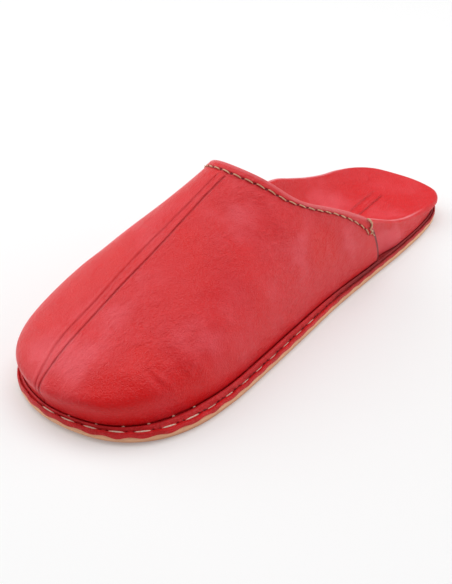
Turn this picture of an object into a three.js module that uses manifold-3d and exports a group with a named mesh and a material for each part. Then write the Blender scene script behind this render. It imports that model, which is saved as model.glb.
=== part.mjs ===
// A right-foot babouche: a backless-worn leather slipper with a closed round toe.
// A flat tan outsole carries a red welt ring, and the hollow upper stands in the welt's groove.
// Behind the upper's ears the back of the slipper is folded down on to the insole.
// Units are millimetres. The sections below run from the heel (x = 0) to the toe.
// +Y is the inner side of the foot.
import * as THREE from "three";
import { mergeVertices } from "three/addons/utils/BufferGeometryUtils.js";
import Module from "manifold-3d";

const wasm = await Module();
wasm.setup();

// Half widths of the sole on the inner and the outer side of the foot, at each distance from the heel.
const PLAN = [
  { x: 0, inner: 0, outer: 0 },
  { x: 5, inner: 16.6, outer: 16.2 },
  { x: 16, inner: 25.2, outer: 25.2 },
  { x: 31, inner: 29.1, outer: 30.8 },
  { x: 58, inner: 32.6, outer: 33.9 },
  { x: 84, inner: 34.5, outer: 35.3 },
  { x: 120, inner: 37.5, outer: 38.8 },
  { x: 150, inner: 41.5, outer: 43.7 },
  { x: 180, inner: 45.3, outer: 47.6 },
  { x: 205, inner: 47.8, outer: 48.3 },
  { x: 226, inner: 46.9, outer: 45.4 },
  { x: 241, inner: 41.8, outer: 39.0 },
  { x: 252, inner: 32.6, outer: 29.6 },
  { x: 258.5, inner: 20.6, outer: 18.4 },
  { x: 262, inner: 0, outer: 0 },
];
const STEPS_PER_ROW = 3; // points of the outline between two rows of the plan

// The sole lies flat on the floor between these two places and lifts a little beyond them.
const HEEL_FLAT_FROM = 30;
const TOE_FLAT_TO = 214;
const HEEL_SPRING = 2.2;
const TOE_SPRING = 1.2;

// Heights of the layers above the floor, and the gap that is left where two of them touch.
const GAP = 0.3;
const OUTSOLE_TOP = 3.2;
const WELT_BOTTOM = OUTSOLE_TOP + GAP;
const WELT_SHELF = 5.3;
const SEAT = WELT_SHELF + GAP; // where the upper, the folded back and the insole stand
const INSOLE_TOP = 7.3;

const OUTSOLE_EDGE = [
  { inset: 0.9, z: 0 },
  { inset: 0.1, z: 0.8 },
  { inset: 0, z: 2.2 },
  { inset: 0.4, z: OUTSOLE_TOP },
];

// Section of the welt: a flat flange on the outsole, then a rolled bead, then the shelf under the upper.
// A point lies at its share of the way from the sole's edge to the groove, and then its inset farther in.
const WELT_SECTION = [
  { share: 0, inset: 11, z: WELT_BOTTOM },
  { share: 0, inset: 0.5, z: WELT_BOTTOM },
  { share: 0, inset: -0.3, z: 4.1 },
  { share: 0, inset: 0.1, z: 4.9 },
  { share: 0.5, inset: 0, z: 5.1 },
  { share: 0.6, inset: 0, z: 6.0 },
  { share: 0.76, inset: 0, z: 6.1 },
  { share: 0.92, inset: 0, z: WELT_SHELF },
  { share: 0, inset: 11, z: WELT_SHELF },
];

const INSOLE_INSET = 8.6;
const INSOLE_CORE_INSET = 11 + GAP;
const INSOLE_EDGE = [
  { inset: INSOLE_CORE_INSET, z: WELT_BOTTOM },
  { inset: INSOLE_CORE_INSET, z: SEAT },
  { inset: INSOLE_INSET, z: SEAT },
  { inset: INSOLE_INSET, z: INSOLE_TOP - 0.5 },
  { inset: INSOLE_INSET + 0.5, z: INSOLE_TOP },
];

// Distance of the welt's groove from the sole's edge on the two sides of the foot.
const GROOVE = [
  { x: 0, inner: 2.0, outer: 2.0 },
  { x: 40, inner: 1.8, outer: 2.6 },
  { x: 84, inner: 2.4, outer: 3.0 },
  { x: 110, inner: 3.2, outer: 3.2 },
  { x: 150, inner: 4.4, outer: 4.0 },
  { x: 205, inner: 4.8, outer: 4.0 },
  { x: 230, inner: 5.8, outer: 3.4 },
  { x: 250, inner: 4.0, outer: 2.6 },
  { x: 262, inner: 2.1, outer: 2.1 },
];

// The upper is a dome of cross sections. Each is a superellipse of the given exponent from the groove of
// the welt to the ridge line, and it swells past the groove by its fullness.
const UPPER_WALL = 1.8;
const UPPER_SECTIONS = [
  { x: 58, ridge: 111.2, exponent: 1.35, fullness: 4.5 },
  { x: 110, ridge: 87.2, exponent: 1.45, fullness: 4.5 },
  { x: 150, ridge: 68.4, exponent: 1.58, fullness: 4.8 },
  { x: 205, ridge: 43.6, exponent: 2.06, fullness: 5 },
  { x: 230, ridge: 31.7, exponent: 2.4, fullness: 5 },
  { x: 250, ridge: 24.0, exponent: 3.0, fullness: 5.4 },
  { x: 262, ridge: 19.7, exponent: 3.5, fullness: 5.8 },
];
const UPPER_REAR_ROW = 4; // the plan row where the dome starts, behind its ears
const RIDGE_REAR = { x: 84, y: -6.5 };
const RIDGE_FRONT = { x: 228, y: -4 }; // the toe's sections fan out from this end of the ridge
const TOE_FAN_FROM = 170; // sections in front of this one turn towards the toe
const UPPER_POINTS = 12; // points of a section from the groove to the ridge

// Side view of the collar, from the throat down over the ear to the welt.
const COLLAR = [
  { x: 147.6, z: 70.5 },
  { x: 141.5, z: 65.4 },
  { x: 134.5, z: 57.8 },
  { x: 127.0, z: 52.6 },
  { x: 115.5, z: 47.2 },
  { x: 101.5, z: 40.0 },
  { x: 89.0, z: 32.2 },
  { x: 84.4, z: 25.6 },
  { x: 80.8, z: 16.5 },
  { x: 78.8, z: 9.5 },
  { x: 78.8, z: 4.0 },
];
const COLLAR_STEPS = 3; // points of the line between two rows
// Extent of the solid that opens the collar.
const CUT = { rear: -20, top: 140, halfWidth: 80, throatClearance: 3 };
const HEM_WIDTH = 3.8;
const HEM_STEP = 0.4; // the turned hem stands proud of the wall on both faces
const HEM_END = 27; // height of the ear where the hem ends

// The folded back: its wall rises to a fold, and the leather comes down from there on to the insole.
const BACK_WALL = 1.7;
const BACK_FRONT_STEP = 16; // the point of the outline at its front edge, inside the ears of the upper
const FOLD_RADIUS = 2.0;
const FLAP_TOP = 9.4; // height of the leather where it lies on the insole
const FLAP_SAG = 2; // how fast it falls from the fold to there
const WALL_CURVE = 1.5; // how the wall's lean grows with its height
const BACK_POINTS = { wall: 4, fold: 4, flap: 7 }; // steps of a section along each of its stretches
const BACK_FAN_FROM = 58;
const BACK_FAN_CENTRE = 34;
const BACK_SECTIONS = [
  { x: 0, innerFold: 10.3, outerFold: 10.3, tuck: 0, lean: -0.8 },
  { x: 8, innerFold: 11.4, outerFold: 12.8, tuck: 0, lean: -2.8 },
  { x: 16, innerFold: 12.0, outerFold: 15.2, tuck: 0, lean: -2.8 },
  { x: 31, innerFold: 12.2, outerFold: 18.8, tuck: 0, lean: 0 },
  { x: 45, innerFold: 13.9, outerFold: 21.1, tuck: 0, lean: 1.6 },
  { x: 60, innerFold: 18.4, outerFold: 24.6, tuck: 0.4, lean: 1.8 },
  { x: 74, innerFold: 24.6, outerFold: 29.3, tuck: 2.0, lean: 1.0 },
  { x: 84, innerFold: 29.0, outerFold: 32.8, tuck: 2.2, lean: 1.3 },
  { x: 96, innerFold: 32.4, outerFold: 35.0, tuck: 2.6, lean: 2.6 },
];

const LEATHER_RED = { color: 0xc8323a, roughness: 0.42, metalness: 0 };
const WELT_RED = { color: 0xb3222a, roughness: 0.5, metalness: 0 };
const INSOLE_RED = { color: 0xc23038, roughness: 0.55, metalness: 0 };
const SOLE_TAN = { color: 0xd9a27c, roughness: 0.75, metalness: 0 };

// The smooth value of one column of a table at x.
function column(rows, name) {
  const places = rows.map((row) => row.x);
  const values = rows.map((row) => row[name]);
  const first = places[0];
  const last = places[places.length - 1];
  const curve = new THREE.CubicInterpolant(places, values, 1);
  return (x) => curve.evaluate(THREE.MathUtils.clamp(x, first, last))[0];
}

// Points of the outline run from the heel along the inner side to the toe and back along the outer side,
// so point i faces point COUNT - i across the shoe.
const innerSide = PLAN.map((row) => new THREE.Vector3(row.x, row.inner, 0));
const outerSide = PLAN.slice(1, -1).map((row) => new THREE.Vector3(row.x, -row.outer, 0));
const outline = new THREE.CatmullRomCurve3([...innerSide, ...outerSide.reverse()], true, "centripetal");
const COUNT = 2 * (PLAN.length - 1) * STEPS_PER_ROW;

function rimPoint(i, inset) {
  const t = (((i % COUNT) + COUNT) % COUNT) / COUNT;
  const tangent = outline.getTangent(t);
  const inward = new THREE.Vector3(tangent.y, -tangent.x, 0);
  return outline.getPoint(t).addScaledVector(inward, inset);
}

const innerGroove = column(GROOVE, "inner");
const outerGroove = column(GROOVE, "outer");

function grooveInset(i) {
  const edge = rimPoint(i, 0);
  return edge.y > 0 ? innerGroove(edge.x) : outerGroove(edge.x);
}

// A point in the welt's groove, or a distance inside it.
function groovePoint(i, inset) {
  return rimPoint(i, grooveInset(i) + inset);
}

function rimLoop(row) {
  const inset = (i) => row.inset + (row.share ?? 0) * grooveInset(i);
  return Array.from({ length: COUNT }, (_, i) => rimPoint(i, inset(i)).setZ(row.z));
}

function lift(x) {
  const heel = THREE.MathUtils.clamp(1 - x / HEEL_FLAT_FROM, 0, 1);
  const toe = THREE.MathUtils.clamp((x - TOE_FLAT_TO) / (PLAN[PLAN.length - 1].x - TOE_FLAT_TO), 0, 1);
  return HEEL_SPRING * heel * heel + TOE_SPRING * toe * toe;
}

function geometryOf(points, triangles) {
  const geometry = new THREE.BufferGeometry().setFromPoints(points);
  geometry.setIndex(triangles.flat());
  return mergeVertices(geometry, 1e-4);
}

// Faces between two rows of points, given as their index functions.
function strip(count, low, high, closed) {
  const faces = [];
  for (let i = 0; i < (closed ? count : count - 1); i++) {
    const next = (i + 1) % count;
    faces.push([low(i), high(i), high(next)], [low(i), high(next), low(next)]);
  }
  return faces;
}

// Faces across a loop of the outline, from each point to the one that it faces.
function ladder(start) {
  const faces = [];
  for (let i = 0; i < COUNT / 2; i++) {
    const far = (COUNT - i) % COUNT;
    if (i > 0) faces.push([start + i, start + i + 1, start + far]);
    if (i === 0) faces.push([start, start + 1, start + COUNT - 1]);
    else if (i < COUNT / 2 - 1) faces.push([start + far, start + i + 1, start + far - 1]);
  }
  return faces;
}

const flipped = (faces) => faces.map(([a, b, c]) => [a, c, b]);

// A plate with the outline of the shoe, whose edge follows a table of insets and heights.
function plate(edge) {
  const points = edge.flatMap(rimLoop);
  const faces = [...ladder(0), ...flipped(ladder((edge.length - 1) * COUNT))];
  for (let k = 0; k + 1 < edge.length; k++) {
    faces.push(...strip(COUNT, (i) => k * COUNT + i, (i) => (k + 1) * COUNT + i, true));
  }
  return geometryOf(points, faces);
}

// A ring round the shoe with a closed section.
function ring(section) {
  const points = section.flatMap(rimLoop);
  const faces = [];
  section.forEach((_, k) => {
    const next = (k + 1) % section.length;
    faces.push(...strip(COUNT, (i) => k * COUNT + i, (i) => next * COUNT + i, true));
  });
  return geometryOf(points, faces);
}

// A wall between an outer and an inner skin. Each skin is a list of ribs, which run from the rim up to the
// middle line of the shoe, and a rib meets its opposite one there.
function shell(outerSkin, innerSkin) {
  const ribs = outerSkin.length;
  const size = outerSkin[0].length;
  const inside = ribs * size;
  const points = [...outerSkin.flat(), ...innerSkin.flat()];
  const faces = [];
  for (let r = 0; r + 1 < ribs; r++) {
    const skin = strip(size, (k) => (r + 1) * size + k, (k) => r * size + k, false);
    faces.push(...skin);
    faces.push(...flipped(skin).map((face) => face.map((v) => v + inside)));
  }
  faces.push(...strip(ribs, (r) => inside + r * size, (r) => r * size, false));
  const lastRib = (ribs - 1) * size;
  faces.push(...flipped(strip(size, (k) => inside + k, (k) => k, false)));
  faces.push(...strip(size, (k) => inside + lastRib + k, (k) => lastRib + k, false));
  return geometryOf(points, faces);
}

function solidOf(geometry) {
  const bare = geometry.clone();
  bare.deleteAttribute("normal");
  bare.deleteAttribute("uv");
  const merged = mergeVertices(bare, 1e-4);
  const vertProperties = new Float32Array(merged.attributes.position.array);
  const triVerts = new Uint32Array(merged.index.array);
  return new wasm.Manifold(new wasm.Mesh({ numProp: 3, vertProperties, triVerts }));
}

function geometryFrom(solid) {
  const mesh = solid.getMesh();
  const geometry = new THREE.BufferGeometry();
  geometry.setAttribute("position", new THREE.BufferAttribute(mesh.vertProperties, 3));
  geometry.setIndex(new THREE.BufferAttribute(mesh.triVerts, 1));
  return geometry;
}

const ridgeHeight = column(UPPER_SECTIONS, "ridge");
const sectionExponent = column(UPPER_SECTIONS, "exponent");
const sectionFullness = column(UPPER_SECTIONS, "fullness");

function ridgePoint(baseX, tipX) {
  const turn = THREE.MathUtils.clamp((baseX - TOE_FAN_FROM) / (tipX - TOE_FAN_FROM), 0, 1);
  const reach = (RIDGE_FRONT.x - TOE_FAN_FROM) * Math.sin((turn * Math.PI) / 2);
  const x = Math.min(baseX, TOE_FAN_FROM) + reach;
  const along = (x - RIDGE_REAR.x) / (RIDGE_FRONT.x - RIDGE_REAR.x);
  return new THREE.Vector3(x, THREE.MathUtils.lerp(RIDGE_REAR.y, RIDGE_FRONT.y, along), 0);
}

// One rib of the dome, a given depth inside its outer face.
function upperRib(i, depth) {
  const base = groovePoint(i, depth);
  const facing = groovePoint(COUNT - i, depth);
  const tip = groovePoint(COUNT / 2, depth);
  const baseX = (base.x + facing.x) / 2;
  const ridge = ridgePoint(baseX, tip.x);
  const span = base.clone().sub(ridge);
  const outward = span.clone().normalize();
  const power = 2 / sectionExponent(baseX);
  return Array.from({ length: UPPER_POINTS + 1 }, (_, k) => {
    const angle = (k / UPPER_POINTS) * (Math.PI / 2);
    const last = k === UPPER_POINTS;
    const point = ridge.clone().addScaledVector(span, last ? 0 : Math.cos(angle) ** power);
    point.addScaledVector(outward, last ? 0 : sectionFullness(baseX) * Math.sin(2 * angle));
    point.z = SEAT + (ridgeHeight(point.x) - depth - SEAT) * Math.sin(angle) ** power;
    return point;
  });
}

function upperDome(outerDepth, innerDepth) {
  const first = UPPER_REAR_ROW * STEPS_PER_ROW;
  const ribs = Array.from({ length: COUNT - 2 * first + 1 }, (_, r) => first + r);
  return shell(ribs.map((i) => upperRib(i, outerDepth)), ribs.map((i) => upperRib(i, innerDepth)));
}

// The collar's line in the side view, moved forward by a distance.
function collarLine(forward) {
  const curve = new THREE.SplineCurve(COLLAR.map((row) => new THREE.Vector2(row.x, row.z)));
  const count = (COLLAR.length - 1) * COLLAR_STEPS;
  return Array.from({ length: count + 1 }, (_, i) => {
    const along = curve.getTangent(i / count);
    return curve.getPoint(i / count).add(new THREE.Vector2(-along.y, along.x).multiplyScalar(forward));
  });
}

// Everything behind a line of the side view, above the line's lower end.
function regionBehind(line) {
  const low = line[line.length - 1];
  const outlinePoints = [
    ...line,
    new THREE.Vector2(CUT.rear, low.y),
    new THREE.Vector2(CUT.rear, CUT.top),
    new THREE.Vector2(line[0].x + CUT.throatClearance, CUT.top),
  ];
  const geometry = new THREE.ExtrudeGeometry(new THREE.Shape(outlinePoints), {
    depth: 2 * CUT.halfWidth,
    bevelEnabled: false,
  });
  geometry.rotateX(Math.PI / 2);
  geometry.translate(0, CUT.halfWidth, 0);
  return solidOf(geometry);
}

function upper() {
  const wall = solidOf(upperDome(0, UPPER_WALL));
  const thick = solidOf(upperDome(-HEM_STEP, UPPER_WALL + HEM_STEP));
  const hemLine = collarLine(HEM_WIDTH).filter((point) => point.y > HEM_END);
  const hem = thick.intersect(regionBehind(hemLine));
  return geometryFrom(wall.add(hem).subtract(regionBehind(collarLine(0))));
}

const innerFold = column(BACK_SECTIONS, "innerFold");
const outerFold = column(BACK_SECTIONS, "outerFold");
const backTuck = column(BACK_SECTIONS, "tuck");
const backLean = column(BACK_SECTIONS, "lean");

// The section of the folded back at one place, as distances inward from the groove and heights.
// It goes up the wall, over the fold and down to the middle of the insole, a depth inside its outer face.
function backSection(foldHeight, lean, span, depth) {
  const centre = { d: lean + FOLD_RADIUS, z: foldHeight - FOLD_RADIUS };
  const radius = FOLD_RADIUS - depth;
  const slope = Math.atan((FLAP_SAG * (foldHeight - FLAP_TOP)) / (span - centre.d));
  const section = [];
  for (let k = 0; k <= BACK_POINTS.wall; k++) {
    const up = k / BACK_POINTS.wall;
    section.push({ d: lean * up ** WALL_CURVE + depth, z: THREE.MathUtils.lerp(SEAT, centre.z, up) });
  }
  for (let k = 1; k < BACK_POINTS.fold; k++) {
    const angle = (k / BACK_POINTS.fold) * (Math.PI / 2 + slope);
    section.push({ d: centre.d - radius * Math.cos(angle), z: centre.z + radius * Math.sin(angle) });
  }
  const start = { d: centre.d + FOLD_RADIUS * Math.sin(slope), z: centre.z + FOLD_RADIUS * Math.cos(slope) };
  for (let k = 0; k <= BACK_POINTS.flap; k++) {
    const left = 1 - k / BACK_POINTS.flap;
    const fall = slope * left ** (FLAP_SAG - 1);
    const d = THREE.MathUtils.lerp(span, start.d, left) - depth * Math.sin(fall);
    section.push({ d, z: FLAP_TOP + (start.z - FLAP_TOP) * left ** FLAP_SAG - depth * Math.cos(fall) });
  }
  return section;
}

// One rib of the folded back, a given depth inside its outer face.
function backRib(i, depth) {
  const place = (rimPoint(i, 0).x + rimPoint(COUNT - i, 0).x) / 2;
  const base = groovePoint(i, backTuck(place));
  const foldHeight = i < 0 ? outerFold(place) : innerFold(place);
  const turn = THREE.MathUtils.clamp((BACK_FAN_FROM - place) / BACK_FAN_FROM, 0, 1);
  const reach = (BACK_FAN_FROM - BACK_FAN_CENTRE) * Math.sin((turn * Math.PI) / 2);
  const middle = new THREE.Vector3(Math.max(place, BACK_FAN_FROM) - reach, 0, 0);
  const span = middle.distanceTo(base);
  const inward = middle.clone().sub(base).divideScalar(span);
  return backSection(foldHeight, backLean(place), span, depth).map((row) => {
    const point = row.d === span ? middle.clone() : base.clone().addScaledVector(inward, row.d);
    return point.setZ(row.z);
  });
}

function foldedBack() {
  const ribs = Array.from({ length: 2 * BACK_FRONT_STEP + 1 }, (_, r) => r - BACK_FRONT_STEP);
  return shell(ribs.map((i) => backRib(i, 0)), ribs.map((i) => backRib(i, BACK_WALL)));
}

// Lifts the heel and toe ends of a piece with the sole, and gives it its name and finish.
function piece(name, geometry, finish) {
  const position = geometry.attributes.position;
  for (let v = 0; v < position.count; v++) {
    position.setZ(v, position.getZ(v) + lift(position.getX(v)));
  }
  geometry.computeVertexNormals();
  const mesh = new THREE.Mesh(geometry, new THREE.MeshStandardMaterial(finish));
  mesh.name = name;
  return mesh;
}

const slipper = new THREE.Group();
slipper.add(
  piece("outsole", plate(OUTSOLE_EDGE), SOLE_TAN),
  piece("welt", ring(WELT_SECTION), WELT_RED),
  piece("insole", plate(INSOLE_EDGE), INSOLE_RED),
  piece("upper", upper(), LEATHER_RED),
  piece("folded_back", foldedBack(), LEATHER_RED),
);

// The origin is on the floor under the middle of the whole shoe.
const bounds = new THREE.Box3().setFromObject(slipper);
const middle = bounds.getCenter(new THREE.Vector3());
slipper.position.set(-middle.x, -middle.y, -bounds.min.z);

export default new THREE.Group().add(slipper);
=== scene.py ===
"""Looks of a red leather babouche slipper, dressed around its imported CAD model.

The forms follow the CAD model's own sections, much finer. Lengths are in millimetres unless a name says
otherwise. The heel is at x = 0, the toe at x = 262, and +Y is the inner side of the foot.
"""
import math

import bmesh
import bpy
import numpy as np
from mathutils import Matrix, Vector

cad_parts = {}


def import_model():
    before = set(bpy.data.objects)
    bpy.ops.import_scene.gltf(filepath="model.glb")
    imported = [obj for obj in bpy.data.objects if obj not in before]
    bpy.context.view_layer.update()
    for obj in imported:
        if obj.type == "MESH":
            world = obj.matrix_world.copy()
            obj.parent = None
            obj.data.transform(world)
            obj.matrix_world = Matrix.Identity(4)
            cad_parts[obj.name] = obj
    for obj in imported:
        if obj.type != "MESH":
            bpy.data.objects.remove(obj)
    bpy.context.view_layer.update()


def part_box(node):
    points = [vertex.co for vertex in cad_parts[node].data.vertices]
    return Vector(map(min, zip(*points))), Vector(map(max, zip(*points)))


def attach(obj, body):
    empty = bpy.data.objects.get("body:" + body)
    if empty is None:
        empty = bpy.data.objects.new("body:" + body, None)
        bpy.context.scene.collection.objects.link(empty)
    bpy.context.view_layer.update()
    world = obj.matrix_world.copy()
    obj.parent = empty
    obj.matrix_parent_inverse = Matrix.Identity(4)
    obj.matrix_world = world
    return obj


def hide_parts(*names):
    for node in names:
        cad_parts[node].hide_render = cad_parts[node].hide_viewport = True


MM = 0.001


def table(names, *rows):
    """The columns of a small table, by name."""
    return dict(zip(names.split(), np.array(rows, float).T))


# The photograph's camera, in millimetres from the middle of the sole's outline, on the floor.
CAMERA_TARGET = (11.3, -10.3, 0.0)
CAMERA_PLACE = (331.2, 268.0, 265.0)
CAMERA_LENS = 84.2
CAMERA_SENSOR = 36.0
CAMERA_CLIP = 0.01  # metres

# Name, place, size (metres) and power (watts) of the lights, and the floor in metres.
LIGHTS = (
    ("overhead", (-0.25, -0.1, 1.25), 1.4, 11.0),
    ("left", (0.33, -1.2, 0.75), 1.6, 11.5),
    ("behind", (-0.9, 0.8, 0.5), 1.2, 5.5),
)
WORLD_STRENGTH = 0.3
FLOOR_REACH = 4.0
FLOOR_GLOW = 0.2
FLOOR_GREYS = (0.7, 0.72)
FLOOR_CLOUDS = 900

# Colours: each dyed leather's deep, middle and hazy one, where the hazy one is a painted sheen, then the
# painted shade and painted highlight marks on them, threads and sole.
UPPER_DYE = ((0.72, 0.005, 0.006), (0.71, 0.014, 0.019), (0.82, 0.08, 0.1))
WELT_DYE = ((0.56, 0.003, 0.005), (0.68, 0.006, 0.01), (0.80, 0.05, 0.068))
INSOLE_DYE = ((0.40, 0.01, 0.013), (0.48, 0.016, 0.02), (0.56, 0.04, 0.04))
PAINTED_SHADE_COLOR = (0.10, 0.002, 0.003)
PAINTED_HIGHLIGHT_COLOR = (0.9, 0.33, 0.36)
RECESS_SHADE_COLOR = (0.12, 0.002, 0.003)
REAR_DARK = (0.2, 0.001, 0.002)
PIT_SHADE_COLOR = (0.07, 0.001, 0.002)
COLLAR_THREAD_COLORS = ((0.52, 0.26, 0.14), (0.84, 0.54, 0.35))
WELT_THREAD_COLORS = ((0.80, 0.56, 0.42), (0.96, 0.80, 0.66))
SOLE_SHADE_COLOR = (0.60, 0.27, 0.15)
SOLE_HIGHLIGHT_COLOR = (0.96, 0.53, 0.31)
SOLE_FIBRE = (0.55, 0.24, 0.14)
SOLE_PATCH = (0.60, 0.25, 0.14)

# Half widths of the sole on the two sides of the foot.
PLAN = table(
    "x inner outer",
    (0, 0, 0),
    (5, 16.6, 16.2),
    (16, 25.2, 25.2),
    (31, 29.1, 30.8),
    (58, 32.6, 33.9),
    (84, 34.5, 35.3),
    (120, 37.5, 38.8),
    (150, 41.5, 43.7),
    (180, 45.3, 47.6),
    (205, 47.8, 48.3),
    (226, 46.9, 45.4),
    (241, 41.8, 39.0),
    (252, 32.6, 29.6),
    (258.5, 20.6, 18.4),
    (262, 0, 0),
)
PLAN_STEPS = 2 * (len(PLAN["x"]) - 1)  # steps of the plan once round the outline
LENGTH = 262.0
HEEL_FLAT_FROM = 30.0
TOE_FLAT_TO = 214.0
HEEL_SPRING = 2.2
TOE_SPRING = 1.2

# Distance of the welt's groove from the sole's edge.
GROOVE = table(
    "x inner outer",
    (0, 2.0, 2.0),
    (40, 1.8, 2.6),
    (84, 2.4, 3.0),
    (110, 3.2, 3.2),
    (150, 4.4, 4.0),
    (205, 4.8, 4.0),
    (230, 5.8, 3.4),
    (250, 4.0, 2.6),
    (262, 2.1, 2.1),
)

SEAT = 5.6  # height where the upper and the folded back stand
UPPER_WALL = 1.8
UPPER_SECTIONS = table(
    "x ridge exponent fullness",
    (58, 111.2, 1.35, 4.5),
    (110, 87.2, 1.45, 4.5),
    (150, 68.4, 1.58, 4.8),
    (205, 43.6, 2.06, 5.0),
    (230, 31.7, 2.4, 5.0),
    (250, 24.0, 3.0, 5.4),
    (262, 19.7, 3.5, 5.8),
)
UPPER_REAR = 4 / PLAN_STEPS  # share of the way round the outline where the dome's ribs start
RIDGE_REAR = (84.0, -6.5)
RIDGE_FRONT = (228.0, -4.0)
TOE_FAN_FROM = 170.0
DOME_MIDDLE = (14.0, -5.0, 0.35)  # distance behind a point, y, and share of the point's height
RIB_SAMPLES = 161
DOME_RIBS = 900
DOME_ACROSS = 84  # steps of the finished mesh from the groove to the ridge
DOME_ALONG = 176  # steps of the finished mesh from the collar to the toe

# Side views of the collar's edge and of the stitches along its hem, from the throat down to the ear.
COLLAR = table(
    "x z",
    (147.6, 70.5),
    (141.5, 65.4),
    (134.5, 57.8),
    (127.0, 52.6),
    (115.5, 47.2),
    (101.5, 40.0),
    (89.0, 32.2),
    (84.4, 25.6),
    (80.8, 16.5),
    (78.8, 9.5),
    (78.8, 4.0),
)
HEM_LINE = table(
    "x z",
    (152.4, 72.0),
    (151.0, 68.4),
    (149.0, 66.4),
    (146.4, 64.4),
    (142.9, 61.4),
    (138.4, 57.2),
    (133.6, 54.0),
    (126.0, 49.8),
    (113.5, 43.6),
    (103.5, 37.6),
    (94.5, 30.6),
    (89.5, 25.0),
    (86.0, 16.5),
    (84.5, 9.5),
    (84.5, 4.0),
)
HEM_RISE = 0.5
HEM_SOFT = (-0.7, 0.5)  # the hem's rise ends between these distances in front of its stitches
HEM_ENDS_BELOW = 27.0
HEM_FADE = 0.8  # how far above and below that height the rise fades
HEM_EDGE = 1.1  # how far the hem's rounded edge reaches behind the two faces of the wall
EDGE_STEPS = 9
STITCHED_ABOVE = (23.0, 25.0)  # the hem's stitches and trough begin between these heights
RIM_HIGHLIGHT = 0.35  # strength of the painted highlight along the collar's edge
RIM_WIDTH = 0.5
EAR_LINE = (0.3, 0.8)  # the painted shade line along the ear's cut edge fades between these distances

# Saddle stitches along the hem.
COLLAR_PITCH = 5.5
COLLAR_DASH = 4.5
COLLAR_THREAD = 0.27
COLLAR_THREAD_RISE = 0.66
COLLAR_THREAD_DIP = 0.85
COLLAR_SLANT = 0.28
COLLAR_STEPS = 9

# The two pressed lines along the ridge, seen from above, and the distances from the hem between which
# they fade in.
PRESSED_FADE = (0.5, 4.0)
PRESSED = table(
    "x left right",
    (150, -5.4, -1.8),
    (163, -6.3, -2.7),
    (177, -7.1, -2.9),
    (200, -8.9, -3.4),
    (221, -9.5, -4.9),
    (245, -9.1, -4.4),
    (262, -4.4, -2.3),
)

# Thread that locks the seam at the inner ear. The outer ear stands farther out by FAR_EAR.
FAR_EAR = 1.7
EAR_BAR = (90.6, 31.5, 33.2), (88.9, 31.9, 31.7), (87.5, 32.2, 29.9), (87.3, 32.3, 28.3), (88.4, 32.4, 27.0)
EAR_LOCK = (88.6, 32.3, 27.4), (88.0, 32.5, 26.4), (87.2, 32.4, 25.6)
KNOT = (86.9, 32.4, 24.7)
KNOT_SIZE = (0.75, 0.15, 0.75)
KNOT_STEPS = 12
KNOT_END = (85.9, 32.3, 23.4), (85.1, 32.5, 22.4), (84.3, 32.4, 21.9)
EAR_THREADS = {"bar": 0.5, "lock": 0.36, "knot": 0.34, "end": 0.32}
# Points of the gap at the ear, round which painted shade darkens the leather, and the distances over which
# it fades.
SLOT = np.array([(89.4, 31.2, 31.0), (88.9, 31.5, 29.4), (89.0, 31.6, 28.0)])
SLOT_WIDTH = (0.25, 0.65)

# Distances from the toe's tip where loops of thread show in the welt's groove.
GROOVE_KNOTS = (10.5, 23.0, 34.5, 45.5, 57.5, 68.5)
GROOVE_KNOT_HALF = 0.7
GROOVE_KNOT_INSET = -0.25
GROOVE_KNOT_Z = 5.75
GROOVE_KNOT_ARCH = 0.5
GROOVE_KNOT_STEPS = 7
GROOVE_THREAD = 0.26

BACK_WALL = 1.7
BACK_FRONT = 16 / 3 / PLAN_STEPS
FOLD_RADIUS = 2.0
FLAP_TOP = 9.4
FLAP_SAG = 2.0
WALL_CURVE = 1.5
BACK_FAN_FROM = 58.0
BACK_FAN_CENTRE = 34.0
FLAP_LINE = (50.8, 1.6, 0.13)  # a place x, y on the flap's pressed line, and its slope
FLAP_LINES_APART = 5.2
FLAP_LINES_START = (23.0, 28.0)
FLAP_LINES_END = (50.0, 55.0)
CREST_WIDTH = 0.65  # of the painted highlight along the fold
CREST_FROM = (24.0, 46.0)
EAR_SHADE = 0.5
EAR_SHADE_REACH = (2.1, 3.4)
BACK_RIBS = 300
BACK_ACROSS = 150
BACK_STEPS = {"wall": 40, "fold": 40, "flap": 100}
NO_HEM = 50.0  # a distance from the hem that is out of reach of its stitches
BACK_SECTIONS = table(
    "x inner_fold outer_fold tuck lean",
    (0, 10.3, 10.3, 0, -0.8),
    (8, 11.4, 12.8, 0, -2.8),
    (16, 12.0, 15.2, 0, -2.8),
    (31, 12.2, 18.8, 0, 0),
    (45, 13.9, 21.1, 0, 1.6),
    (60, 18.4, 24.6, 0.4, 1.8),
    (74, 24.6, 29.3, 2.0, 1.0),
    (84, 29.0, 32.8, 2.2, 1.3),
    (96, 32.4, 35.0, 2.6, 2.6),
)

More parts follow.
